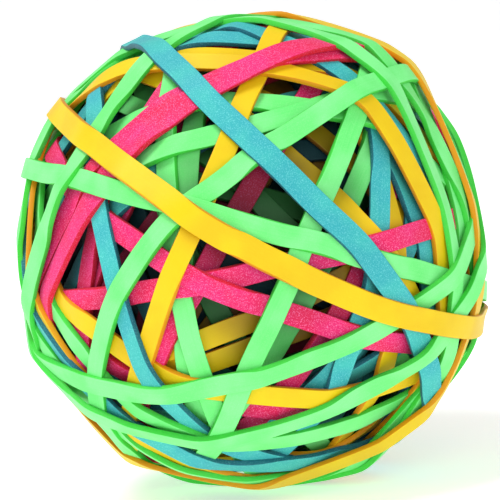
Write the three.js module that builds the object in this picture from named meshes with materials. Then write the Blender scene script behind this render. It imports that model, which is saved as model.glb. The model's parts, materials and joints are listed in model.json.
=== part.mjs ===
/**
 * Rubber band ball.
 *
 * A desk ball about 70 mm across, wound by hand from stretched office rubber
 * bands in mint green, yellow, pink and teal. The bands of the outer layers are
 * modelled one by one, each as a closed flat hoop. The ball wound from all the
 * bands below them is one round body.
 *
 * Lengths are in millimetres and angles in degrees. +Z is up, -Y is the front,
 * and the origin is on the ground below the middle of the ball.
 */
import * as THREE from 'three';
import { ConvexHull } from 'three/addons/math/ConvexHull.js';
import { mergeVertices } from 'three/addons/utils/BufferGeometryUtils.js';

// Driving dimensions.
const CORE_RADIUS = 28;       // ball wound from the hidden bands
const LAY_RADIUS = 35;        // radius of the finished ball, for the side steps of a route
const BAND_WIDTH = 3.2;       // a 1/8 inch band
const WIDE_BAND_WIDTH = 3.7;  // a few of the last bands are a little wider
const BAND_THICKNESS = 1.1;
const PRESSED_THICKNESS = 0.4; // the deepest of these bands, squeezed by all those above
const LAY_GAP = 0.08;         // clearance between a band and what it lies on
const SHOW_SIDE_TILT = 30;    // the show side leans back from upright by about this
const STEADY_MARGIN = 2;      // the middle of mass stays this far inside what the ball rests on

// How finely each band is laid over the ones below it.
const STATIONS = 720;         // stations round the band where its height is found
const LANES = 9;              // lines across the band at each station
const LANE_MARGIN = 0.12;     // the outer lanes run this far past the band's edges
const MAX_CORNERS = 26;       // most corners in one finished hoop
const CORNER_STEP = 0.1;      // corners lower than this are merged

const PAINT = {
  green: { color: 0x7dffa0, roughness: 0.55 },
  yellow: { color: 0xf7dc28, roughness: 0.5 },
  pink: { color: 0xf23a86, roughness: 0.65 },
  teal: { color: 0x46c3cf, roughness: 0.65 },
  dark: { color: 0x2b4a40, roughness: 0.8 },
};

/**
 * The outer bands in the order they were wound on, so a later band lies on top.
 *
 * Each hoop goes from one place on the ball to another and on round the far
 * side. A place is [right, up] in degrees from the middle of the show side. `off`
 * is how far, in mm, the hoop runs beside the middle of the ball, and `sway` is
 * [mm, degrees]: how far it snakes from side to side, twice each way round, and
 * how far past the first place it is furthest to the left.
 */
const BANDS = [
  // Deepest bands that still show in the gaps.
  { color: 'yellow', from: [-12, -29], to: [-2, -27] },
  { color: 'green', from: [-3, 18], to: [11, 5] },
  { color: 'yellow', from: [-13, -23], to: [2, -18] },
  { color: 'yellow', from: [-36, 53], to: [7, 42] },
  { color: 'teal', from: [39, -29], to: [24, -37] },
  { color: 'teal', from: [27, -29], to: [21, -37] },
  { color: 'pink', from: [16, -30], to: [10, -38] },
  { color: 'pink', from: [-42, -30], to: [-38, -32] },
  { color: 'pink', from: [-39, 4], to: [-48, -12] },
  { color: 'teal', from: [-53, -6], to: [-46, 1] },
  { color: 'green', from: [-17, -18], to: [-17, -29] },
  { color: 'yellow', from: [41, -22], to: [42, -31] },
  // Middle layers.
  { color: 'teal', from: [-58, 31], to: [-51, 45], off: -6 },
  { color: 'yellow', from: [-20, -64], to: [11, -66] },
  { color: 'green', from: [29, 15], to: [15, -12] },
  { color: 'teal', from: [43, 19], to: [49, -1] },
  { color: 'teal', from: [38, 29], to: [34, 8] },
  { color: 'yellow', from: [13, 23], to: [28, 7] },
  { color: 'pink', from: [0, 16], to: [-10, -2], off: -1 },
  { color: 'pink', from: [-25, 52], to: [-38, 25] },
  { color: 'green', from: [-43, 32], to: [-30, 36] },
  { color: 'green', from: [-22, 21], to: [-21, 15] },
  { color: 'yellow', from: [-30, 53], to: [4, 55] },
  { color: 'teal', from: [-17, 61], to: [26, 60] },
  { color: 'teal', from: [26, 53], to: [34, 45] },
  { color: 'green', from: [-17, 32], to: [59, 43], off: 2, sway: [5, -66] },
  { color: 'pink', from: [-26, -10], to: [30, 1] },
  { color: 'yellow', from: [-46, -19], to: [30, -37] },
  { color: 'pink', from: [-22, -2], to: [16, -18], off: 4 },
  { color: 'yellow', from: [-3, 35], to: [-25, -21], off: -6 },
  { color: 'teal', from: [-38, -6], to: [-10, -44], off: 1.5, sway: [3.8, -31] },
  { color: 'green', from: [-76, 17], to: [-44, -33], off: 6 },
  { color: 'green', from: [18, 12], to: [-9, -45], off: 4 },
  { color: 'yellow', from: [25, 29], to: [41, 6], off: -2.5, sway: [6.8, 14] },
  { color: 'pink', from: [-4, 47], to: [-36, 28] },
  { color: 'pink', from: [12, 51], to: [-49, 3], off: -1, width: WIDE_BAND_WIDTH },
  // Outermost bands.
  { color: 'yellow', from: [-82, 31], to: [-68, -5] },
  { color: 'teal', from: [-16, -59], to: [36, -61] },
  { color: 'green', from: [-55, -47], to: [-33, -64], off: 4, sway: [1.5, 52] },
  { color: 'green', from: [66, 30], to: [63, -2] },
  { color: 'green', from: [51, 52], to: [56, 43] },
  { color: 'green', from: [-8, 17], to: [46, 48], off: -6, sway: [4, -48] },
  { color: 'green', from: [-43, 16], to: [34, -3], off: 3 },
  { color: 'green', from: [28, 60], to: [54, 9], off: -6 },
  { color: 'green', from: [-43, 47], to: [-66, -10], off: -7.5, sway: [2, 24] },
  { color: 'green', from: [-29, -37], to: [52, -4], off: 2.5, sway: [2, 6] },
  { color: 'teal', from: [-59, 60], to: [20, 11], off: -1, sway: [5, -50], width: WIDE_BAND_WIDTH },
  { color: 'yellow', from: [68, 29], to: [22, -71], off: -3, sway: [3.5, 44] },
  { color: 'green', from: [-52, -41], to: [37, -33], off: 2 },
  { color: 'yellow', from: [-29, 17], to: [35, -12], off: 4.5, sway: [2, -43], width: WIDE_BAND_WIDTH },
];

/** Unit vector to a place given in degrees right and up from the show side's middle. */
function placeOnBall([right, up]) {
  const lon = THREE.MathUtils.degToRad(right);
  const lat = THREE.MathUtils.degToRad(up);
  return new THREE.Vector3(
    Math.sin(lon) * Math.cos(lat), Math.sin(lat), Math.cos(lon) * Math.cos(lat));
}

/** Where one band runs: a unit direction from the ball's middle for each station. */
class Route {
  constructor({ from, to, off = 0, sway = [0, 0] }) {
    const a = placeOnBall(from);
    const b = placeOnBall(to);
    const lean = off / LAY_RADIUS;
    const cross = a.clone().cross(b);
    // The hoop's axis makes the same angle with both places, set by `off`.
    const along = a.clone().add(b).multiplyScalar(lean / (1 + a.dot(b)));
    const axis = cross.multiplyScalar(Math.sqrt(1 - along.lengthSq()) / cross.length()).add(along);
    const first = a.clone().addScaledVector(axis, -a.dot(axis)).normalize();
    const second = axis.clone().cross(first);
    const phase = THREE.MathUtils.degToRad(sway[1]);
    this.directions = Array.from({ length: STATIONS }, (_, i) => {
      const turn = (2 * Math.PI * i) / STATIONS;
      const tilt = (off + sway[0] * Math.cos(2 * (turn - phase))) / LAY_RADIUS;
      return first.clone().multiplyScalar(Math.cos(tilt) * Math.cos(turn))
        .addScaledVector(second, Math.cos(tilt) * Math.sin(turn))
        .addScaledVector(axis, Math.sin(tilt));
    });
    this.acrosses = this.directions.map((direction, i) => {
      const ahead = this.directions[(i + 1) % STATIONS];
      const behind = this.directions[(i + STATIONS - 1) % STATIONS];
      return ahead.clone().sub(behind).cross(direction).normalize();
    });
  }

  /** Angle at the ball's middle between two stations. */
  angleBetween(i, j) {
    return this.directions[i].angleTo(this.directions[j]);
  }
}

/** The surface wound so far: triangles that a ray from the ball's middle can meet. */
class WoundSurface {
  constructor() {
    this.triangles = [];
  }

  add(a, b, c) {
    const middle = a.clone().add(b).add(c).normalize();
    const reach = Math.min(...[a, b, c].map((p) => middle.dot(p) / p.length()));
    const normal = b.clone().sub(a).cross(c.clone().sub(a));
    this.triangles.push({ a, b, c, middle, reach: reach - 1e-4, normal, level: normal.dot(a) });
  }

  /** Those triangles whose directions come within `angle` radians of `direction`. */
  near(direction, angle) {
    return this.triangles.filter(({ middle, reach }) =>
      Math.acos(Math.min(1, middle.dot(direction))) < Math.acos(reach) + angle);
  }

  /** Distance from the ball's middle, along `direction`, to the outermost of `triangles` or the core. */
  static height(triangles, direction) {
    let height = CORE_RADIUS;
    for (const { a, b, c, middle, reach, normal, level } of triangles) {
      if (middle.dot(direction) < reach) continue;
      const distance = level / normal.dot(direction);
      if (!(distance > height)) continue;
      const point = direction.clone().multiplyScalar(distance);
      if (THREE.Triangle.containsPoint(point, a, b, c)) height = distance;
    }
    return height;
  }
}

/** Height, at angle `at` past p, of the straight line from p to q `span` further on. */
function lineHeight(p, q, at, span) {
  return (p * q * Math.sin(span)) / (p * Math.sin(at) + q * Math.sin(span - at));
}

/** Corner where the line through p and q meets the line through r and s. */
function meetOutside(p, q, r, s, pq, qr, rs) {
  const point = (height, angle) => new THREE.Vector2(Math.cos(angle), Math.sin(angle)).multiplyScalar(height);
  const [a, b] = [point(p, -pq), point(q, 0)];
  const [c, d] = [point(r, qr), point(s, qr + rs)];
  const u = b.clone().sub(a);
  const v = d.clone().sub(c);
  const share = c.clone().sub(a).cross(v) / u.cross(v);
  const corner = a.addScaledVector(u, share);
  return { height: corner.length(), angle: corner.angle() };
}

/** One stretched band laid over the surface wound so far. */
class Band {
  constructor(spec, thickness, surface) {
    this.width = spec.width ?? BAND_WIDTH;
    this.thickness = thickness;
    this.route = new Route(spec);
    const needed = this.#neededHeights(surface);
    this.corners = this.#simplify(this.#pullTaut(needed));
  }

  /** Least height of the band's underside at each station. */
  #neededHeights(surface) {
    const half = this.width / 2 + LANE_MARGIN;
    const heights = this.route.directions.map((direction, i) => {
      const across = this.route.acrosses[i];
      const triangles = surface.near(direction, (half + 1) / CORE_RADIUS);
      let height = WoundSurface.height(triangles, direction);
      const reach = half / height;
      for (let lane = 0; lane < LANES; lane++) {
        const side = reach * ((2 * lane) / (LANES - 1) - 1);
        const ray = direction.clone().addScaledVector(across, side).normalize();
        height = Math.max(height, WoundSurface.height(triangles, ray) * ray.dot(direction));
      }
      return height + LAY_GAP;
    });
    return heights.map((height, i) => Math.max(
      height, heights[(i + 1) % STATIONS], heights[(i + STATIONS - 1) % STATIONS]));
  }

  /** Keeps only the stations where a stretched band presses on what is below it. */
  #pullTaut(heights) {
    let kept = heights.map((height, station) => ({ height, station }));
    for (let changed = true; changed;) {
      const next = [];
      changed = false;
      for (let i = 0; i < kept.length; i++) {
        const before = next.at(-1) ?? kept.at(-1);
        const here = kept[i];
        const after = kept[(i + 1) % kept.length];
        const at = this.route.angleBetween(before.station, here.station);
        const span = at + this.route.angleBetween(here.station, after.station);
        if (here.height <= lineHeight(before.height, after.height, at, span)) changed = true;
        else next.push(here);
      }
      kept = next;
    }
    return kept;
  }

  /** Merges neighbouring corners outward until few are left. */
  #simplify(corners) {
    const kept = corners.map(({ height, station }) => ({ height, place: station }));
    const span = (p, q) => {
      const steps = (q.place - p.place + STATIONS) % STATIONS;
      return (2 * Math.PI * steps) / STATIONS;
    };
    for (;;) {
      let best = null;
      kept.forEach((q, i) => {
        const p = kept[(i + kept.length - 1) % kept.length];
        const r = kept[(i + 1) % kept.length];
        const s = kept[(i + 2) % kept.length];
        const [pq, qr, rs] = [span(p, q), span(q, r), span(r, s)];
        const { height, angle } = meetOutside(p.height, q.height, r.height, s.height, pq, qr, rs);
        const rise = height - lineHeight(q.height, r.height, angle, qr);
        if (angle > 0 && angle < qr && (!best || rise < best.rise)) {
          best = { i, rise, height, place: q.place + (angle / (2 * Math.PI)) * STATIONS };
        }
      });
      if (!best || (kept.length <= MAX_CORNERS && best.rise > CORNER_STEP)) return kept;
      const next = (best.i + 1) % kept.length;
      kept[best.i] = { height: best.height, place: best.place % STATIONS };
      kept.splice(next, 1);
    }
  }

  /** Unit vectors outward and across the band at a place between stations. */
  #frameAt(place) {
    const i = Math.floor(place) % STATIONS;
    const share = place - Math.floor(place);
    const j = (i + 1) % STATIONS;
    const outward = this.route.directions[i].clone().lerp(this.route.directions[j], share).normalize();
    const across = this.route.acrosses[i].clone().lerp(this.route.acrosses[j], share);
    return { outward, across: across.addScaledVector(outward, -across.dot(outward)).normalize() };
  }

  /** The four corner points of the band's section at each corner, inner pair first. */
  sections() {
    return this.corners.map(({ height, place }) => {
      const { outward, across } = this.#frameAt(place);
      return [[0, -1], [0, 1], [1, 1], [1, -1]].map(([out, side]) => outward.clone()
        .multiplyScalar(height + out * this.thickness)
        .addScaledVector(across, (side * this.width) / 2));
    });
  }
}

/** A closed hoop: four faces between each section and the next. */
class HoopGeometry extends THREE.BufferGeometry {
  constructor(sections) {
    super();
    const index = [];
    sections.forEach((_, i) => {
      const here = 4 * i;
      const next = 4 * ((i + 1) % sections.length);
      for (let k = 0; k < 4; k++) {
        const l = (k + 1) % 4;
        index.push(here + k, next + l, here + l, here + k, next + k, next + l);
      }
    });
    this.setAttribute('position', new THREE.Float32BufferAttribute(
      sections.flat().flatMap((point) => point.toArray()), 3));
    this.setIndex(index);
    this.computeVertexNormals();
  }
}

function paint(name) {
  return new THREE.MeshStandardMaterial({ ...PAINT[name], metalness: 0 });
}

/** Adds each triangle of a mesh that faces away from the ball's middle to the wound surface. */
function layOn(surface, geometry) {
  const position = geometry.getAttribute('position');
  const corners = [...geometry.index.array].map((i) => new THREE.Vector3().fromBufferAttribute(position, i));
  for (let i = 0; i < corners.length; i += 3) {
    const triangle = new THREE.Triangle(...corners.slice(i, i + 3));
    const normal = triangle.getNormal(new THREE.Vector3());
    if (normal.dot(triangle.a.clone().normalize()) > 0.5) surface.add(triangle.a, triangle.b, triangle.c);
  }
}

function makeInnerWindings() {
  const ball = new THREE.IcosahedronGeometry(CORE_RADIUS, 5);
  ball.deleteAttribute('normal');
  ball.deleteAttribute('uv');
  const mesh = new THREE.Mesh(mergeVertices(ball, 1e-3), paint('dark'));
  mesh.name = 'inner_windings';
  return mesh;
}

/** Winds every band in turn over the inner ball. */
function windBall() {
  const ball = new THREE.Group();
  const surface = new WoundSurface();
  ball.add(makeInnerWindings());
  BANDS.forEach((spec, i) => {
    const thickness = THREE.MathUtils.lerp(
      PRESSED_THICKNESS, BAND_THICKNESS, (i / (BANDS.length - 1)) ** 2);
    const geometry = new HoopGeometry(new Band(spec, thickness, surface).sections());
    const mesh = new THREE.Mesh(geometry, paint(spec.color));
    mesh.name = `band_${String(i + 1).padStart(2, '0')}_${spec.color}`;
    ball.add(mesh);
    layOn(surface, geometry);
  });
  return ball;
}

/** Middle of mass of a group of closed meshes of one material. */
function middleOfMass(meshes) {
  const middle = new THREE.Vector3();
  let mass = 0;
  for (const { geometry } of meshes) {
    const position = geometry.getAttribute('position');
    const corners = [...geometry.index.array].map((i) => new THREE.Vector3().fromBufferAttribute(position, i));
    for (let i = 0; i < corners.length; i += 3) {
      const [a, b, c] = corners.slice(i, i + 3);
      const share = a.dot(b.clone().cross(c));
      mass += share;
      middle.addScaledVector(a.add(b).add(c), share / 4);
    }
  }
  return middle.divideScalar(mass);
}

/** How far inside a flat of the hull the point straight below `middle` falls. */
function steadiness(face, middle) {
  const foot = middle.clone().addScaledVector(face.normal, -face.distanceToPoint(middle));
  let inside = Infinity;
  let edge = face.edge;
  do {
    const [tail, head] = [edge.tail().point, edge.head().point];
    const along = head.clone().sub(tail).normalize();
    inside = Math.min(inside, along.cross(foot.clone().sub(tail)).dot(face.normal));
    edge = edge.next;
  } while (edge !== face.edge);
  return inside;
}

/** Rolls the ball the least it takes to rest steadily on the ground, as it would by itself. */
function settle(ball) {
  const points = ball.children.flatMap(({ geometry }) => {
    const position = geometry.getAttribute('position');
    return Array.from({ length: position.count }, (_, i) => new THREE.Vector3().fromBufferAttribute(position, i));
  });
  const middle = middleOfMass(ball.children);
  const ground = new THREE.Vector3(0, 0, -1);
  const down = ground.clone().applyQuaternion(ball.quaternion.clone().invert());
  const [flat] = new ConvexHull().setFromPoints(points).faces
    .filter((face) => steadiness(face, middle) > STEADY_MARGIN)
    .sort((a, b) => a.normal.angleTo(down) - b.normal.angleTo(down));
  const roll = new THREE.Quaternion().setFromUnitVectors(flat.normal.clone().applyQuaternion(ball.quaternion), ground);
  ball.quaternion.premultiply(roll);
  ball.position.z = flat.constant;
}

const ball = windBall();
ball.rotation.x = THREE.MathUtils.degToRad(90 - SHOW_SIDE_TILT);
settle(ball);
const middle = new THREE.Box3().setFromObject(ball, true).getCenter(new THREE.Vector3());
ball.position.set(-middle.x, -middle.y, ball.position.z);

const rubberBandBall = new THREE.Group();
rubberBandBall.add(ball);

export default rubberBandBall;
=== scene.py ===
"""Rubber band ball: the finished look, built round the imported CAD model.

Every outer band of the CAD model is wound again here as a soft strip of rubber.
The bands go on in the same order, each along the line of its CAD hoop, over a
ball of hidden bands that only shows in the gaps. A band lies on whatever it
crosses, leans to one side where its support does, and spans the hollows.

Lengths are in millimetres, apart from finished meshes and the studio, which are
in metres.
"""

from __future__ import annotations

import json
import logging
import math
from dataclasses import dataclass, field
from enum import Enum

import bpy
import numpy as np
from mathutils import Matrix, Vector

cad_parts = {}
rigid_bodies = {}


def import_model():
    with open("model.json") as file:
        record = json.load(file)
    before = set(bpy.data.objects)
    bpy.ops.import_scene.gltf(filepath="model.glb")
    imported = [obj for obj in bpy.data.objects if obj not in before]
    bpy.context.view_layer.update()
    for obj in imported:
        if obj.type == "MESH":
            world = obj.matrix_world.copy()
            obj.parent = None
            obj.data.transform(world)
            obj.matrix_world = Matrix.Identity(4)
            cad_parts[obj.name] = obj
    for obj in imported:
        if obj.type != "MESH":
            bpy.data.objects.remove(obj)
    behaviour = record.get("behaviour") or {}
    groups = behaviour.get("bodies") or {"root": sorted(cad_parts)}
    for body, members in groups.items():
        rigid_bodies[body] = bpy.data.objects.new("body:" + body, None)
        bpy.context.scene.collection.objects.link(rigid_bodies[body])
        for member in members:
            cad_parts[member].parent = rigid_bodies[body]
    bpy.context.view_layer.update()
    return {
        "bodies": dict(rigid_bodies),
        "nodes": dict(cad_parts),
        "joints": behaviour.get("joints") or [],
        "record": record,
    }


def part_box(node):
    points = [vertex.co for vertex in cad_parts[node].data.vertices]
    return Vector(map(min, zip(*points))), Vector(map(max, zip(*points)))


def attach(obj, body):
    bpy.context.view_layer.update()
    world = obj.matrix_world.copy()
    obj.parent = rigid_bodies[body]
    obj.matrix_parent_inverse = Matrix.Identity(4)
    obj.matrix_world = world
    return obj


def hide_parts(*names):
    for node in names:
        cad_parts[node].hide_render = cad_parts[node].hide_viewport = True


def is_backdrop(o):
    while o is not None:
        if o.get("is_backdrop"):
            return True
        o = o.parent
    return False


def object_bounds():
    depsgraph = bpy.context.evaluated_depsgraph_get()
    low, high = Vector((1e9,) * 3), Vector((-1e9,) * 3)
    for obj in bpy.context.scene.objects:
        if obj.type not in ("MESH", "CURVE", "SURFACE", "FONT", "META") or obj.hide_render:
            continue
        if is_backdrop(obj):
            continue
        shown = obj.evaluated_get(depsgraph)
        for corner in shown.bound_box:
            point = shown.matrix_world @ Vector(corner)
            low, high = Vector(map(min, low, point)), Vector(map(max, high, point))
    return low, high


log = logging.getLogger("rubber_band_ball")

MM = 0.001
FULL_TURN = 2 * math.pi
HIDDEN_WIDTH = 3.3    # of the bands that the CAD model doesn't have one by one


class Rubber(Enum):
    """Colours of the bands, as the CAD nodes name them."""

    GREEN = "green"
    YELLOW = "yellow"
    PINK = "pink"
    TEAL = "teal"


# --- Directions ---------------------------------------------------------------


def unit(vectors: np.ndarray) -> np.ndarray:
    """Scales vectors to length one.

    Args:
        vectors: Array whose last axis holds x, y and z.

    Returns:
        Array of the same shape.
    """
    return vectors / np.linalg.norm(vectors, axis=-1, keepdims=True)


@dataclass(frozen=True)
class ShowSide:
    """The side of the ball that faces the camera.

    Attributes:
        azimuth: Degrees round from the front, towards +X.
        elevation: Degrees above the horizon.
        roll: Degrees that the camera turns clockwise about its own view.
    """

    azimuth: float = 2.3
    elevation: float = 6.6
    roll: float = 7.1

    def axes(self) -> np.ndarray:
        """Rows: right, up and towards the viewer, as the camera has them."""
        turn, rise, roll = (math.radians(a) for a in (self.azimuth, self.elevation, self.roll))
        back = np.array([math.sin(turn) * math.cos(rise), -math.cos(turn) * math.cos(rise), math.sin(rise)])
        level = np.array([math.cos(turn), math.sin(turn), 0.0])
        upright = np.cross(back, level)
        right = level * math.cos(roll) - upright * math.sin(roll)
        return np.stack([right, np.cross(back, right), back])

    def place(self, right: float, up: float) -> np.ndarray:
        """Unit vector to a place given in degrees right and up from the side's middle."""
        lon, lat = math.radians(right), math.radians(up)
        local = np.array([math.sin(lon) * math.cos(lat), math.sin(lat), math.cos(lon) * math.cos(lat)])
        return local @ self.axes()


# --- The line of a band -------------------------------------------------------


def smooth_round(values: np.ndarray, spread: float) -> np.ndarray:
    """Smooths values round a closed loop with a bell curve.

    Args:
        values: One value for each station.
        spread: Standard deviation of the bell curve, in stations.

    Returns:
        The smoothed values: each frequency is damped by exp(-(w * spread)^2 / 2).
    """
    waves = np.fft.rfft(values)
    turn = FULL_TURN * np.arange(len(waves)) / len(values)
    return np.fft.irfft(waves * np.exp(-0.5 * (turn * spread) ** 2), len(values))


def resample_round(values: np.ndarray, count: int) -> np.ndarray:
    """Reads a closed loop of values at `count` even places, in straight lines between stations."""
    places = np.arange(count) * len(values) / count
    first = places.astype(int)
    share = (places - first).reshape(-1, *[1] * (values.ndim - 1))
    return values[first] * (1 - share) + values[(first + 1) % len(values)] * share


@dataclass(frozen=True)
class HoopLine:
    """The closed line that a band follows round the ball, as seen from the ball's middle.

    Attributes:
        outward: Unit vector to each station.
        across: Unit vector across the band at each station, square to `outward`.
        width: Width of the band that follows it.
    """

    outward: np.ndarray
    across: np.ndarray
    width: float = HIDDEN_WIDTH

    STATIONS = 480         # places round the line
    CORNER_SPREAD = 5.0    # stations over which a CAD hoop's corners are rounded
    WELD_DECIMALS = 3      # CAD corners that agree this far are one
    OUTER_FACING = 0.5     # least cosine between the way out and an outer face's normal

    @classmethod
    def round_pole(cls, pole: np.ndarray, start: np.ndarray, rise: np.ndarray | float = 0.0,
                   width: float = HIDDEN_WIDTH) -> HoopLine:
        """Makes a line that goes once round a pole.

        Station i stands at turn t = i / STATIONS of a full turn, in the direction
        cos(rise) (start cos t + side sin t) + pole sin(rise).

        Args:
            pole: Unit vector about which the line turns.
            start: Unit vector square to the pole, where the line starts.
            rise: Angle of each station towards the pole, in radians.
            width: Width of the band.

        Returns:
            The line.
        """
        turn = (FULL_TURN * np.arange(cls.STATIONS) / cls.STATIONS)[:, None]
        rise = np.broadcast_to(rise, cls.STATIONS)[:, None]
        flat = start * np.cos(turn) + np.cross(pole, start) * np.sin(turn)
        outward = flat * np.cos(rise) + pole * np.sin(rise)
        along = unit(np.roll(outward, -1, axis=0) - np.roll(outward, 1, axis=0))
        return cls(outward, unit(np.cross(outward, along)), width)

    @classmethod
    def through(cls, first: np.ndarray, second: np.ndarray) -> HoopLine:
        """Makes the great circle through two places, given as unit vectors."""
        pole = unit(np.cross(first, second))
        return cls.round_pole(pole, first)

    @classmethod
    def of_hoop(cls, node: bpy.types.Object, middle: np.ndarray) -> HoopLine:
        """Reads the line of a CAD hoop from its mesh.

        The hoop's outer face is a closed strip of triangles. The midpoint of each
        edge that two of them share is on the strip's middle line. The midpoints
        are put in order of their turn about the hoop's pole, and their rise
        towards it is read off at even turns and smoothed.

        Args:
            node: CAD object of the hoop, in metres.
            middle: Middle of the ball, in millimetres.

        Returns:
            The line, with the hoop's width: the length of the shortest shared edge.
        """
        points, corners = cls._triangles(node, middle)
        a, b, c = (points[corners[:, k]] for k in range(3))
        facing = np.einsum("ij,ij->i", unit(np.cross(b - a, c - a)), unit(a + b + c))
        strip = corners[facing > cls.OUTER_FACING]
        edges = np.sort(np.concatenate([strip[:, [0, 1]], strip[:, [1, 2]], strip[:, [2, 0]]]), axis=1)
        edges, count = np.unique(edges, axis=0, return_counts=True)
        shared = points[edges[count == 2]]
        spine = unit(shared.mean(axis=1))
        width = np.linalg.norm(np.diff(shared, axis=1), axis=-1).min()

        pole = np.linalg.svd(spine - spine.mean(axis=0))[2][2]
        start = unit(spine[0] - pole * (spine[0] @ pole))
        turn = np.arctan2(spine @ np.cross(pole, start), spine @ start) % FULL_TURN
        even = FULL_TURN * np.arange(cls.STATIONS) / cls.STATIONS
        rise = np.interp(even, *zip(*sorted(zip(turn, np.arcsin(spine @ pole)))), period=FULL_TURN)
        return cls.round_pole(pole, start, smooth_round(rise, cls.CORNER_SPREAD), width)

    @classmethod
    def _triangles(cls, node: bpy.types.Object, middle: np.ndarray) -> tuple[np.ndarray, np.ndarray]:
        """Reads a CAD hoop's triangles, with corners at the same place made one.

        Args:
            node: CAD object of the hoop, in metres.
            middle: Middle of the ball, in millimetres.

        Returns:
            The corners' places from the ball's middle, and each triangle's three corners.
        """
        mesh = node.data
        points = np.empty(len(mesh.vertices) * 3)
        mesh.vertices.foreach_get("co", points)
        points = points.reshape(-1, 3) / MM - middle
        mesh.calc_loop_triangles()
        corners = np.empty(len(mesh.loop_triangles) * 3, int)
        mesh.loop_triangles.foreach_get("vertices", corners)
        rounded = points.round(cls.WELD_DECIMALS)
        _, first, same = np.unique(rounded, axis=0, return_index=True, return_inverse=True)
        return points[first], same.ravel()[corners].reshape(-1, 3)


# --- The wound surface --------------------------------------------------------


class HeightMap:
    """How far the wound surface is from the ball's middle, in every direction.

    The directions are cells on the six faces of a cube round the ball.
    """

    CELLS = 256    # along each edge of the cube

    def __init__(self, radius: float) -> None:
        """Starts with a bare ball of the given radius."""
        self._heights = np.full(6 * self.CELLS**2, radius)

    def _cells(self, directions: np.ndarray) -> np.ndarray:
        """Number of the cell that each direction goes through.

        The longest coordinate picks the cube's face, and the other two divided by
        it give the place on the face, from -1 to 1.
        """
        longest = np.abs(directions).argmax(axis=-1)[..., None]
        ahead = np.take_along_axis(directions, longest, axis=-1)
        beside = np.take_along_axis(directions, (longest + [1, 2]) % 3, axis=-1)
        place = ((beside / np.abs(ahead) + 1) * 0.5 * self.CELLS).astype(int).clip(0, self.CELLS - 1)
        face = (2 * longest + (ahead < 0))[..., 0]
        return (face * self.CELLS + place[..., 0]) * self.CELLS + place[..., 1]

    def read(self, directions: np.ndarray) -> np.ndarray:
        """Height of the surface in each direction."""
        return self._heights[self._cells(directions)]

    def raise_to(self, directions: np.ndarray, heights: np.ndarray) -> None:
        """Raises the surface to the given heights wherever it is lower."""
        np.maximum.at(self._heights, self._cells(directions), heights)

    def level(self) -> float:
        """Mean height of the surface."""
        return float(self._heights.mean())


@dataclass(frozen=True)
class StripShape:
    """Section of a band: a rectangle with round corners.

    Attributes:
        corner: Radius of the corners.
        arc_points: Points on each round corner.
        hold: Distance from a round corner to the next point on the top.
    """

    corner: float = 0.16
    arc_points: int = 3
    hold: float = 0.12

    def outline(self, width: float, thickness: float) -> np.ndarray:
        """Points of the section, as across and up from the middle of the underside.

        Each corner is a quarter circle. The top has a point `hold` in from each
        corner and one in the middle, so that it shades flat. The underside has
        one point, in the middle.

        Args:
            width: Width of the band.
            thickness: Thickness of the band.

        Returns:
            Array of points in order round the section.
        """
        turn = np.linspace(0, math.pi / 2, self.arc_points)
        inner_x, low, high = width / 2 - self.corner, self.corner, thickness - self.corner
        centres = ((inner_x, low), (inner_x, high), (-inner_x, high), (-inner_x, low))
        arcs = []
        for quarter, centre in enumerate(centres):
            angle = turn + (quarter - 1) * math.pi / 2
            arcs.append(np.array(centre) + self.corner * np.stack([np.cos(angle), np.sin(angle)], axis=1))
        hold = inner_x - self.hold
        top = np.array([[hold, thickness], [0, thickness], [-hold, thickness]])
        bottom = np.array([[0.0, 0.0]])
        return np.concatenate([arcs[0], arcs[1], top, arcs[2], arcs[3], bottom])


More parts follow.
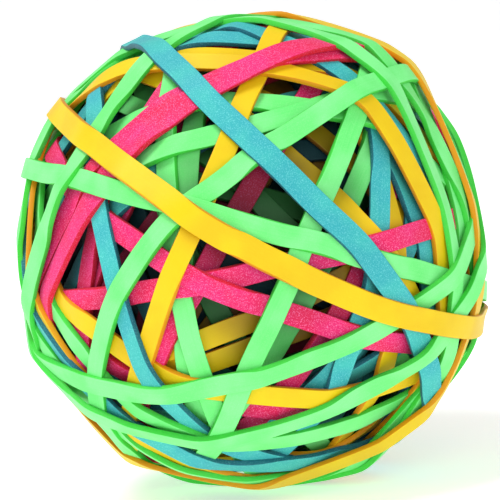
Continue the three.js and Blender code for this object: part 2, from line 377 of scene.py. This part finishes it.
@dataclass
class Band:
    """One stretched rubber band.

    Attributes:
        name: Name of the piece.
        rubber: Colour of the band.
        line: Line that it follows.
        thickness: Thickness of the strip before the ball is pressed.
        seed: Picks how the band's width, thickness and place wander.
        steps: Sections round the finished strip.
        height: Distance of the underside from the ball's middle at each station, once laid.
        lean: Slope of the band across itself at each station, once laid.
    """

    name: str
    rubber: Rubber
    line: HoopLine
    thickness: float = 1.4
    seed: int = 0
    steps: int = 240
    height: np.ndarray = field(init=False, repr=False)
    lean: np.ndarray = field(init=False, repr=False)

    LANES = 9              # lanes across the band on which the surface is read
    EDGE_MARGIN = 0.12     # how far the outer lanes lie beyond the band's edges
    FINER = 3              # stations for each of the line's where the surface is raised
    GAP = 0.05             # between the band and what it bears on
    GIVE = 0.55            # share of its thickness by which the band raises the surface
    OVERSIZE = 1.28        # makes up for the ball being scaled down in the end
    LEAN = 0.75            # share of the support's slope that the band takes up
    LEAN_LIMIT = 0.3       # steepest lean
    LEAN_SPREAD = 7.0      # stations over which the lean is evened out
    BEND_SPREAD = 1.6      # stations over which the height is evened out
    SPANS = (40, 28, 20, 14, 10, 7, 5, 3, 2, 1)    # stations to either side that a taut band bridges
    ROUNDS = 3             # times that all the spans are gone through
    WAVES = (1, 2, 3, 5, 8)    # waves round the band that add up to a wander
    WIDTH_WANDER = 0.03    # share of the width
    SIDE_WANDER = 0.12     # to either side of the line
    THICKNESS_WANDER = 0.05    # share of the thickness

    @property
    def width(self) -> float:
        """Width before the ball is scaled down to the size of the model."""
        return self.OVERSIZE * self.line.width

    def lay(self, surface: HeightMap) -> None:
        """Lays the band on the wound surface and adds it to the surface.

        The surface is read on lanes across the band at each station. The lean is
        the slope of the line that fits those lanes best. The underside is at the
        highest lane once the lean is taken off, then pulled taut. The band sinks
        into what it lies on, so it raises the surface by only part of its thickness.
        """
        lanes = np.linspace(-1, 1, self.LANES) * (self.width / 2 + self.EDGE_MARGIN)
        support = surface.read(self._towards(self.line, lanes, surface.level()))
        lean = (support @ lanes) / (lanes @ lanes)
        lean = smooth_round(self.LEAN * lean, self.LEAN_SPREAD)
        self.lean = self.LEAN_LIMIT * np.tanh(lean / self.LEAN_LIMIT)
        needed = (support - self.lean[:, None] * lanes).max(axis=1) + self.GAP
        self.height = smooth_round(self._pull_taut(needed), self.BEND_SPREAD)

        fine = self.FINER * HoopLine.STATIONS
        line = HoopLine(resample_round(self.line.outward, fine), resample_round(self.line.across, fine))
        lanes = np.linspace(-0.5, 0.5, 2 * self.LANES + 1) * self.width
        height, lean = resample_round(self.height, fine), resample_round(self.lean, fine)
        top = height[:, None] + lean[:, None] * lanes + self.GIVE * self.thickness
        surface.raise_to(self._towards(line, lanes, height.mean()), top)

    @staticmethod
    def _towards(line: HoopLine, lanes: np.ndarray, radius: float) -> np.ndarray:
        """Directions to lanes that run beside a line, by so many millimetres at a radius."""
        return line.outward[:, None] + line.across[:, None] * (lanes / radius)[:, None]

    def _pull_taut(self, heights: np.ndarray) -> np.ndarray:
        """Lifts each station to the straight line between the stations on either side.

        Two places at radii p and q, each an angle d to one side, have a straight
        line between them that crosses the middle at 2 p q cos(d) / (p + q).

        Args:
            heights: Least height at each station.

        Returns:
            Heights of a stretched band that bears on those heights.
        """
        for _ in range(self.ROUNDS):
            for span in self.SPANS:
                before, after = np.roll(heights, span), np.roll(heights, -span)
                angle = FULL_TURN * span / len(heights)
                heights = np.maximum(heights, 2 * before * after * math.cos(angle) / (before + after))
        return heights

    def strip(self, shape: StripShape) -> Strip:
        """Carries the section along the band's line.

        A point of the section at (x, y) stands at outward * (height + y) + across * x,
        with the section turned by the lean. The width, the thickness and the place
        across the line wander by a few slow waves.

        Args:
            shape: Section of the band.

        Returns:
            The strip's grid of points, from the ball's middle.
        """
        outward = unit(resample_round(self.line.outward, self.steps))
        across = resample_round(self.line.across, self.steps)
        height, lean = resample_round(self.height, self.steps), resample_round(self.lean, self.steps)
        side = unit(across + lean[:, None] * outward)
        up = unit(outward - lean[:, None] * across)
        section = shape.outline(self.width, self.thickness)
        wider, shift, thicker = (self._wander(channel)[:, None] for channel in range(3))
        x = section[None, :, 0] * (1 + self.WIDTH_WANDER * wider) + self.SIDE_WANDER * shift
        y = section[None, :, 1] * (1 + self.THICKNESS_WANDER * thicker)
        points = outward[:, None] * height[:, None, None]
        points = points + side[:, None] * x[..., None] + up[:, None] * y[..., None]
        return Strip(points, section)

    def _wander(self, channel: int) -> np.ndarray:
        """The mean of some slow waves round the band, well between -1 and 1.

        Args:
            channel: Picks the waves' phases, with the band's seed.

        Returns:
            One value for each section.
        """
        rng = np.random.default_rng([self.seed, channel])
        turn = FULL_TURN * np.arange(self.steps)[:, None] / self.steps
        waves = np.array(self.WAVES)
        return (np.sin(turn * waves + rng.uniform(0, FULL_TURN, len(waves))) / np.sqrt(waves)).mean(axis=1)


@dataclass
class Strip:
    """Surface of one band.

    Attributes:
        points: Grid of points, one row for each section.
        section: The section's own outline, across and up.
    """

    points: np.ndarray
    section: np.ndarray

    SIDE_BLEND = 0.16    # distance over which a broad face turns into a cut side

    def press(self, level: float, press: float) -> None:
        """Evens out the ball: a point `h` above the level ends `press * h` above it."""
        distance = np.linalg.norm(self.points, axis=-1, keepdims=True)
        self.points = self.points / distance * (level + press * (distance - level))

    def faces(self) -> np.ndarray:
        """Four corners of each face of the closed strip, as numbers of its points."""
        rows, columns = self.points.shape[:2]
        i, j = np.meshgrid(np.arange(rows), np.arange(columns), indexing="ij")
        after, beside = (i + 1) % rows, (j + 1) % columns
        return np.stack([i * columns + j, i * columns + beside,
                         after * columns + beside, after * columns + j], axis=-1).reshape(-1, 4)

    def side_share(self) -> np.ndarray:
        """How far each point belongs to the cut sides: 0 on the broad faces, 1 on the sides."""
        width, thickness = np.ptp(self.section, axis=0)
        from_side = width / 2 - np.abs(self.section[:, 0])
        from_face = thickness / 2 - np.abs(self.section[:, 1] - thickness / 2)
        share = np.clip(0.5 + (from_face - from_side) / self.SIDE_BLEND, 0, 1)
        return np.broadcast_to(share, self.points.shape[:2]).ravel()

    def map_places(self) -> np.ndarray:
        """Millimetres along the band and round its section, for each corner of each face."""
        rows, columns = self.points.shape[:2]
        middle = self.points.mean(axis=1)
        step = np.linalg.norm(np.roll(middle, -1, axis=0) - middle, axis=1)
        along = np.concatenate([[0], np.cumsum(step)])
        round_section = np.linalg.norm(np.diff(self.section, axis=0, append=self.section[:1]), axis=1)
        around = np.concatenate([[0], np.cumsum(round_section)])
        i, j = np.meshgrid(np.arange(rows), np.arange(columns), indexing="ij")
        corners = [(i, j), (i, j + 1), (i + 1, j + 1), (i + 1, j)]
        places = [np.stack([along[a], around[b]], axis=-1) for a, b in corners]
        return np.stack(places, axis=2).reshape(-1, 2)


# --- Meshes -------------------------------------------------------------------


def make_piece(name: str, strips: list[Strip], middle: np.ndarray, level: float) -> bpy.types.Object:
    """Makes one object out of strips.

    Point attributes: `side` is 1 on the cut sides of a band, and `depth` is how
    far a point lies below the ball's level, in millimetres, by which the finishes paint shade.

    Args:
        name: Name of the object.
        strips: Strips that the object is made of.
        middle: Middle of the ball.
        level: Radius from which the depth is counted.

    Returns:
        The object, linked to the scene.
    """
    points = np.concatenate([s.points.reshape(-1, 3) for s in strips])
    starts = np.cumsum([0] + [s.points.shape[0] * s.points.shape[1] for s in strips[:-1]])
    faces = np.concatenate([s.faces() + start for s, start in zip(strips, starts)])

    mesh = bpy.data.meshes.new(name)
    mesh.vertices.add(len(points))
    mesh.vertices.foreach_set("co", ((points + middle) * MM).ravel())
    mesh.loops.add(faces.size)
    mesh.loops.foreach_set("vertex_index", faces.ravel())
    mesh.polygons.add(len(faces))
    mesh.polygons.foreach_set("loop_start", np.arange(0, faces.size, 4))
    mesh.polygons.foreach_set("use_smooth", np.ones(len(faces), bool))
    mesh.update(calc_edges=True)
    places = np.concatenate([s.map_places() for s in strips])
    mesh.uv_layers.new(name="band").uv.foreach_set("vector", places.ravel())
    side = mesh.attributes.new("side", "FLOAT", "POINT")
    side.data.foreach_set("value", np.concatenate([s.side_share() for s in strips]))
    depth = mesh.attributes.new("depth", "FLOAT", "POINT")
    depth.data.foreach_set("value", level - np.linalg.norm(points, axis=1))

    piece = bpy.data.objects.new(name, mesh)
    bpy.context.scene.collection.objects.link(piece)
    return piece


# --- Finishes -----------------------------------------------------------------


class Value:
    """A number that varies over a surface, for use in arithmetic."""

    def __init__(self, tree: ShaderTree, socket: bpy.types.NodeSocket) -> None:
        """Wraps an output socket of a tree."""
        self.tree = tree
        self.socket = socket

    def __add__(self, other: Value | float) -> Value:
        """Sum."""
        return self.tree.math("ADD", self, other)

    __radd__ = __add__

    def __sub__(self, other: Value | float) -> Value:
        """Difference."""
        return self.tree.math("SUBTRACT", self, other)

    def __rsub__(self, other: float) -> Value:
        """Difference from a number."""
        return self.tree.math("SUBTRACT", other, self)

    def __mul__(self, other: Value | float) -> Value:
        """Product."""
        return self.tree.math("MULTIPLY", self, other)

    __rmul__ = __mul__


class ShaderTree:
    """The node tree of one material."""

    def __init__(self, material: bpy.types.Material) -> None:
        """Empties the material's tree."""
        material.use_nodes = True
        self._tree = material.node_tree
        self._tree.nodes.clear()

    def node(self, kind: str, settings: dict | None = None, inputs: dict | None = None) -> bpy.types.Node:
        """Adds a node.

        Args:
            kind: Type of the node.
            settings: Properties of the node, set first.
            inputs: Value or link for each socket, by name or number.

        Returns:
            The node.
        """
        made = self._tree.nodes.new(kind)
        for key, setting in (settings or {}).items():
            setattr(made, key, setting)
        for key, given in (inputs or {}).items():
            source = given.socket if isinstance(given, Value) else given
            if isinstance(source, bpy.types.NodeSocket):
                self._tree.links.new(source, made.inputs[key])
            else:
                made.inputs[key].default_value = source
        return made

    def math(self, operation: str, a: Value | float, b: Value | float) -> Value:
        """Adds one step of arithmetic."""
        made = self.node("ShaderNodeMath", {"operation": operation}, {0: a, 1: b})
        return Value(self, made.outputs[0])

    def ramp(self, value: Value, low: float, high: float) -> Value:
        """Smooth step from 0 where `value` is low to 1 where it is high."""
        made = self.node("ShaderNodeMapRange", {"interpolation_type": "SMOOTHSTEP"},
                         {"Value": value, "From Min": low, "From Max": high})
        return Value(self, made.outputs[0])

    def mix(self, under: tuple | bpy.types.NodeSocket, over: tuple, share: Value) -> bpy.types.NodeSocket:
        """Mixes two colours: `under` where the share is 0 and `over` where it is 1."""
        under = (*under, 1.0) if isinstance(under, tuple) else under
        made = self.node("ShaderNodeMix", {"data_type": "RGBA"}, {0: share, 6: under, 7: (*over, 1.0)})
        return made.outputs[2]

    def noise(self, place: bpy.types.NodeSocket, scale: float, detail: float = 2.0,
              roughness: float = 0.5) -> Value:
        """Noise between 0 and 1."""
        made = self.node("ShaderNodeTexNoise", {}, {
            "Vector": place, "Scale": scale, "Detail": detail, "Roughness": roughness})
        return Value(self, made.outputs[0])

    def attribute(self, name: str) -> Value:
        """Number kept on the mesh's points."""
        made = self.node("ShaderNodeAttribute", {"attribute_name": name})
        return Value(self, made.outputs["Fac"])


@dataclass(frozen=True)
class RubberFinish:
    """Matte dyed rubber with a powdery bloom, with painted shade in the gaps and on the cut sides.

    Colours are linear red, green and blue.

    Attributes:
        face: Colour of the broad face.
        tone: A second tone that clouds the broad face.
        side: Colour of the cut sides: the rubber's own deeper colour there, darkened as painted shade.
        painted_shade: Painted shade: the dark colour mixed in where the band lies low in the ball, in the
            gaps.
        powder: Colour of the fine specks, and of faint streaks along the band.
        powder_share: How much the specks cover the broad face.
        roughness: Mean roughness.
    """

    face: tuple[float, float, float]
    tone: tuple[float, float, float]
    side: tuple[float, float, float]
    painted_shade: tuple[float, float, float]
    powder: tuple[float, float, float]
    powder_share: float
    roughness: float

    # Scales are in waves to a metre, and steps are the noise or share at which a
    # smooth step starts and ends.
    CLOUD_SCALE = 160.0
    CLOUD_STEP = (0.35, 0.65)
    STREAK_STRETCH = (0.06, 3.0, 1.0)    # waves to a millimetre along the band and across it
    STREAK_STEP = (0.3, 0.7)
    STREAK_SHARE = 0.05
    # The cut sides take the side colour, which is partly the rubber's own colour and partly painted shade.
    SIDE_STEP = (0.35, 0.75)
    SIDE_SHARE = 0.85
    SPECK_SCALE = 6800.0
    SPECK_STEP = (0.5, 0.72)
    SPECK_LOSS = 0.6          # how much of the specks the cut sides lack
    # Painted shade: the colour turns towards the painted_shade colour over these millimetres below the
    # ball's level.
    DEPTH_SHADE_STEP = (0.6, 4.0)   # millimetres below the ball's level
    DEPTH_SHADE_SHARE = 0.95
    GRAIN_SCALE = 2600.0
    GRAIN_HEIGHT = 0.06       # millimetres
    GRAIN_STRENGTH = 0.35
    GRAIN_ROUGHNESS = 0.16    # by how much the grain varies the roughness
    SPECULAR = 0.25
    SHEEN = 0.04
    SHEEN_ROUGHNESS = 0.5

    def material(self, name: str) -> bpy.types.Material:
        """Builds the material.

        Args:
            name: Name of the material.

        Returns:
            The material.
        """
        made = bpy.data.materials.new(name)
        made.diffuse_color = (*self.face, 1.0)
        tree = ShaderTree(made)
        place = tree.node("ShaderNodeTexCoord").outputs["Object"]
        grain = tree.noise(place, self.GRAIN_SCALE, detail=3.0, roughness=0.65)
        bump = tree.node("ShaderNodeBump", {}, {
            "Strength": self.GRAIN_STRENGTH, "Distance": self.GRAIN_HEIGHT * MM, "Height": grain})
        surface = tree.node("ShaderNodeBsdfPrincipled", {}, {
            "Base Color": self._colour(tree, place), "Normal": bump.outputs[0],
            "Roughness": self.roughness + self.GRAIN_ROUGHNESS * (grain - 0.5),
            "Specular IOR Level": self.SPECULAR, "Sheen Weight": self.SHEEN,
            "Sheen Roughness": self.SHEEN_ROUGHNESS})
        tree.node("ShaderNodeOutputMaterial", {}, {"Surface": surface.outputs[0]})
        return made

    def _colour(self, tree: ShaderTree, place: bpy.types.NodeSocket) -> bpy.types.NodeSocket:
        """Builds the colour: clouds and streaks, then the cut sides with some painted shade, the specks, and
        painted shade by depth.

        Args:
            tree: Tree of the material.
            place: Place on the object, in metres.

        Returns:
            Socket of the colour.
        """
        along = tree.node("ShaderNodeTexCoord").outputs["UV"]
        stretch = tree.node("ShaderNodeMapping", {}, {"Vector": along, "Scale": self.STREAK_STRETCH})
        cloud = tree.ramp(tree.noise(place, self.CLOUD_SCALE), *self.CLOUD_STEP)
        streak = tree.ramp(tree.noise(stretch.outputs[0], 1.0, detail=3.0), *self.STREAK_STEP)
        side = tree.ramp(tree.attribute("side"), *self.SIDE_STEP)
        speck = tree.ramp(tree.noise(place, self.SPECK_SCALE, detail=1.0, roughness=0.7), *self.SPECK_STEP)
        # Painted shade: share of the dark colour, from how far the point lies below the ball's level.
        depth = tree.ramp(tree.attribute("depth"), *self.DEPTH_SHADE_STEP)

        colour = tree.mix(self.face, self.tone, cloud)
        colour = tree.mix(colour, self.powder, streak * self.STREAK_SHARE)
        # Cut sides: the rubber's own deeper colour, with painted shade.
        colour = tree.mix(colour, self.side, side * self.SIDE_SHARE)
        colour = tree.mix(colour, self.powder, speck * self.powder_share * (1 - self.SPECK_LOSS * side))
        # Mixes in the painted shade of the gaps.
        return tree.mix(colour, self.painted_shade, depth * self.DEPTH_SHADE_SHARE)


# Each finish's painted_shade colour is painted shade for the gaps. Its side colour is the cut rubber's own
# colour, darkened with painted shade.
FINISHES = {
    Rubber.GREEN: RubberFinish(
        face=(0.20, 0.86, 0.25), tone=(0.13, 0.79, 0.17), side=(0.030, 0.56, 0.025),
        painted_shade=(0.003, 0.055, 0.008), powder=(0.55, 0.95, 0.60), powder_share=0.12, roughness=0.5),
    Rubber.YELLOW: RubberFinish(
        face=(0.80, 0.56, 0.002), tone=(0.76, 0.50, 0.001), side=(0.70, 0.24, 0.001),
        painted_shade=(0.09, 0.040, 0.001), powder=(0.88, 0.72, 0.02), powder_share=0.08, roughness=0.48),
    Rubber.PINK: RubberFinish(
        face=(0.74, 0.003, 0.070), tone=(0.80, 0.010, 0.150), side=(0.64, 0.002, 0.008),
        painted_shade=(0.085, 0.001, 0.012), powder=(0.96, 0.25, 0.56), powder_share=0.66, roughness=0.6),
    Rubber.TEAL: RubberFinish(
        face=(0.028, 0.37, 0.42), tone=(0.042, 0.46, 0.43), side=(0.005, 0.085, 0.14),
        painted_shade=(0.001, 0.014, 0.024), powder=(0.25, 0.82, 0.78), powder_share=0.45, roughness=0.6),
}


# --- The ball -----------------------------------------------------------------


@dataclass
class RubberBandBall:
    """The whole ball.

    Attributes:
        show: Side of the ball that faces the camera.
        start_radius: Radius of the knot on which the hidden bands are wound.
        hidden_bands: How many hidden bands are wound on it.
        press: How much of each bump is left once the bands have pressed in.
    """

    show: ShowSide
    start_radius: float = 23.5
    hidden_bands: int = 72
    press: float = 0.75

    # Bands that show only as glimpses between the outer ones, deepest first:
    # colour, and two places in degrees right and up from the show side's middle.
    GLIMPSES = (
        (Rubber.TEAL, (-13, -45), (17, -44)),
        (Rubber.TEAL, (20, -13), (31, -17)),
        (Rubber.TEAL, (-5, -3), (3, -10)),
        (Rubber.TEAL, (-31, 7), (-25, -6)),
        (Rubber.TEAL, (-19, 22), (-12, 24)),
        (Rubber.TEAL, (-42, -55), (-39, -64)),
        (Rubber.TEAL, (36, -42), (38, -52)),
        (Rubber.TEAL, (35, -25), (29, -31)),
        (Rubber.TEAL, (-57, 44), (-58, 49)),
        (Rubber.TEAL, (-61, 37), (-77, 50)),
        (Rubber.TEAL, (-48, 22), (-45, 24)),
        (Rubber.PINK, (-51, 62), (-27, 71)),
        (Rubber.PINK, (-12, 22), (-15, 19)),
        (Rubber.GREEN, (-11, -13), (-9, -17)),
        (Rubber.GREEN, (-18, 18), (-11, 17)),
        (Rubber.YELLOW, (-69, 39), (-63, 50)),
        (Rubber.GREEN, (57, 30), (60, 20)),
    )

    HIDDEN_STEPS = 108     # sections round a hidden band
    GLIMPSE_STEPS = 180    # sections round a glimpse
    POLE_SEED = 11         # picks the hidden bands' poles and colours
    HIDDEN_SEED = 500      # seed of the first hidden band
    GLIMPSE_SEED = 900     # seed of the first glimpse
    COLOUR_SHARES = (0.2, 0.2, 0.2, 0.4)    # of the hidden bands, in the order of Rubber
    START_AXIS = (0.3, 0.5, 0.8)            # each hidden line starts square to this and to its pole

    def build(self, frame: dict) -> Vector:
        """Winds the ball, makes its pieces and dresses them.


        Returns:
            Middle of the finished ball, in metres.
        """
        low, high = (np.array(corner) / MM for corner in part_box("inner_windings"))
        middle = (low + high) / 2
        hidden, outer = self._hidden(), self._outer(frame["nodes"], middle)
        strips, level = self._wind(hidden, outer)
        scale = self._fit(list(strips.values()))
        middle[2] = -min(strip.points[..., 2].min() for strip in strips.values())
        log.info("scaled by %.4f to the size of the model, middle at %s", scale, middle)

        finishes = {rubber: finish.material(f"{rubber.value}_rubber") for rubber, finish in FINISHES.items()}
        top = level * scale
        for band in outer:
            piece = make_piece(f"wound_{band.name}", [strips[band.name]], middle, top)
            self._dress(piece, band.rubber, finishes, [band.name])
        for rubber in Rubber:
            names = [band.name for band in hidden if band.rubber is rubber]
            piece = make_piece(f"hidden_{rubber.value}_bands", [strips[name] for name in names], middle, top)
            self._dress(piece, rubber, finishes, ["inner_windings"])
        return Vector(middle * MM)

    def _wind(self, hidden: list[Band], outer: list[Band]) -> tuple[dict[str, Strip], float]:
        """Lays the bands over one another and presses the ball.

        Args:
            hidden: Hidden bands, in the order that they go on.
            outer: Outer bands, which go on after them.

        Returns:
            The strip of each band by name, and the level of the wound surface.
        """
        surface = HeightMap(self.start_radius)
        for band in hidden + outer:
            band.lay(surface)
        level = surface.level()
        log.info("wound %d bands: surface at %.2f mm", len(hidden + outer), level)
        plain, full = StripShape(arc_points=2), StripShape()
        strips = {band.name: band.strip(plain) for band in hidden}
        strips |= {band.name: band.strip(full) for band in outer}
        for strip in strips.values():
            strip.press(level, self.press)
        return strips, level

    @staticmethod
    def _fit(strips: list[Strip]) -> float:
        """Scales the strips until the ball's box is as large as the CAD model's, on average.

        Args:
            strips: All the strips, from the ball's middle.

        Returns:
            The scale.
        """
        low, high = (np.array(corner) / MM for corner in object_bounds())
        corners = np.concatenate([strip.points.reshape(-1, 3) for strip in strips])
        scale = (high - low).mean() / np.ptp(corners, axis=0).mean()
        for strip in strips:
            strip.points *= scale
        return scale

    @staticmethod
    def _dress(piece: bpy.types.Object, rubber: Rubber, finishes: dict, nodes: list[str]) -> None:
        """Gives a piece its finish and its place in the model.

        Args:
            piece: The piece.
            rubber: Colour of its bands.
            finishes: Material of each colour.
            nodes: CAD nodes that the piece takes the place of.
        """
        piece.data.materials.append(finishes[rubber])
        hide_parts(*nodes)
        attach(piece, "root")
        log.info("%s: %d faces", piece.name, len(piece.data.polygons))

    def _hidden(self) -> list[Band]:
        """Makes the hidden bands, each round a pole picked evenly at random, then the glimpses.

        Returns:
            The bands, in the order that they go on.
        """
        rng = np.random.default_rng(self.POLE_SEED)
        poles = unit(rng.normal(size=(self.hidden_bands, 3)))
        colours = rng.choice(list(Rubber), self.hidden_bands, p=self.COLOUR_SHARES)
        bands = []
        for i, (pole, rubber) in enumerate(zip(poles, colours)):
            line = HoopLine.round_pole(pole, unit(np.cross(pole, self.START_AXIS)))
            bands.append(Band(f"hidden_{i:03d}", rubber, line, seed=self.HIDDEN_SEED + i,
                              steps=self.HIDDEN_STEPS))
        for i, (rubber, first, second) in enumerate(self.GLIMPSES):
            line = HoopLine.through(self.show.place(*first), self.show.place(*second))
            bands.append(Band(f"glimpse_{i:02d}", rubber, line, seed=self.GLIMPSE_SEED + i,
                              steps=self.GLIMPSE_STEPS))
        return bands

    @staticmethod
    def _outer(nodes: dict, middle: np.ndarray) -> list[Band]:
        """Makes the outer bands from their CAD hoops.

        Args:
            nodes: CAD objects by name.
            middle: Middle of the ball, in millimetres.

        Returns:
            The bands, in the order that the nodes are numbered.
        """
        names = sorted(name for name in nodes if name.startswith("band_"))
        bands = []
        for i, name in enumerate(names):
            rubber = Rubber(name.rsplit("_", 1)[1])
            bands.append(Band(name, rubber, HoopLine.of_hoop(nodes[name], middle), seed=i))
        return bands


# --- The studio ---------------------------------------------------------------


@dataclass
class Studio:
    """Pale floor, soft lights and the camera.

    Attributes:
        show: Side of the ball that the camera looks at.
        middle: Middle of the ball, in metres.
        distance: Distance from the camera to the ball's middle, in metres.
        lens: Focal length on a 36 mm sensor.
        floor_radius: Radius of the flat part of the floor, in metres.
        rim: How far out, and how high, the floor's rim then sweeps up, in metres.
        floor_glow: How brightly the floor shines by itself, so that it ends up white.
    """

    show: ShowSide
    middle: Vector
    distance: float = 0.305
    lens: float = 147.0
    floor_radius: float = 2.0
    rim: tuple[float, float] = (1.0, 0.8)
    floor_glow: float = 0.45

    FLOOR_SIDES = 96
    SWEEP_STEPS = 24
    CARD_WHITE = 0.93
    SKY_STRENGTH = 0.42
    CLIP_START = 0.01

    def build(self) -> None:
        """Makes the floor, the lights and the camera."""
        self._floor()
        self._sky()
        self._light("key_light", side=-0.6, rise=1.1, ahead=0.35, size=0.5, power=12.0)
        self._light("front_light", side=0.2, rise=0.4, ahead=1.0, size=0.8, power=2.6)
        self._camera()

    def _floor(self) -> None:
        """A round sheet of pale card whose rim sweeps up all round, so that no edge shows.

        The rim is a quarter ellipse: at angle t it is rim[0] sin t further out and
        rim[1] (1 - cos t) up.
        """
        sides = self.FLOOR_SIDES
        sweep = np.linspace(0, math.pi / 2, self.SWEEP_STEPS + 1)
        radii = self.floor_radius + self.rim[0] * np.sin(sweep)
        heights = self.rim[1] * (1 - np.cos(sweep))
        turn = FULL_TURN * np.arange(sides) / sides
        rings = np.stack([np.outer(radii, np.cos(turn)), np.outer(radii, np.sin(turn)),
                          np.repeat(heights[:, None], sides, axis=1)], axis=-1).reshape(-1, 3)
        faces = [tuple(range(sides))]
        for inner in range(0, sides * self.SWEEP_STEPS, sides):
            outer = inner + sides
            for j, after in ((j, (j + 1) % sides) for j in range(sides)):
                faces.append((inner + j, outer + j, outer + after, inner + after))
        mesh = bpy.data.meshes.new("floor")
        mesh.from_pydata(rings.tolist(), [], faces)
        mesh.polygons.foreach_set("use_smooth", np.ones(len(faces), bool))
        floor = bpy.data.objects.new("floor", mesh)
        material = bpy.data.materials.new("pale_card")
        tree = ShaderTree(material)
        card = tree.node("ShaderNodeBsdfPrincipled", {}, {
            "Base Color": (*[self.CARD_WHITE] * 3, 1), "Roughness": 0.9,
            "Emission Color": (1, 1, 1, 1), "Emission Strength": self.floor_glow})
        tree.node("ShaderNodeOutputMaterial", {}, {"Surface": card.outputs[0]})
        mesh.materials.append(material)
        bpy.context.scene.collection.objects.link(floor)
        floor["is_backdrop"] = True

    def _sky(self) -> None:
        """Even white light from all round."""
        world = bpy.data.worlds.new("studio")
        world.use_nodes = True
        background = world.node_tree.nodes["Background"]
        background.inputs["Color"].default_value = (1, 1, 1, 1)
        background.inputs["Strength"].default_value = self.SKY_STRENGTH
        bpy.context.scene.world = world
        bpy.context.scene.view_settings.view_transform = "Standard"

    def _light(self, name: str, side: float, rise: float, ahead: float, size: float, power: float) -> None:
        """Adds a soft square light that faces the ball.

        Args:
            name: Name of the light.
            side: Metres to the camera's right.
            rise: Metres above the ball, along the camera's up.
            ahead: Metres towards the camera.
            size: Side of the square, in metres.
            power: Power in watts.
        """
        light = bpy.data.lights.new(name, "AREA")
        light.energy, light.size = power, size
        lamp = bpy.data.objects.new(name, light)
        offset = Vector(np.array([side, rise, ahead]) @ self.show.axes())
        lamp.location = self.middle + offset
        lamp.rotation_euler = offset.to_track_quat("Z", "Y").to_euler()
        bpy.context.scene.collection.objects.link(lamp)

    def _camera(self) -> None:
        """Adds the camera, looking straight at the middle of the ball."""
        right, up, back = (Vector(axis) for axis in self.show.axes())
        camera = bpy.data.objects.new("camera", bpy.data.cameras.new("camera"))
        camera.data.lens = self.lens
        camera.data.clip_start = self.CLIP_START
        camera.location = self.middle + back * self.distance
        camera.rotation_euler = Matrix((right, up, back)).transposed().to_euler()
        bpy.context.scene.collection.objects.link(camera)
        bpy.context.scene.camera = camera


def main() -> None:
    """Builds the ball and the studio, and notes the sizes."""
    logging.basicConfig(level=logging.INFO, format="%(name)s: %(message)s")
    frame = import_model()
    show = ShowSide()
    middle = RubberBandBall(show).build(frame)
    Studio(show, middle).build()


if __name__ == "__main__":
    main()
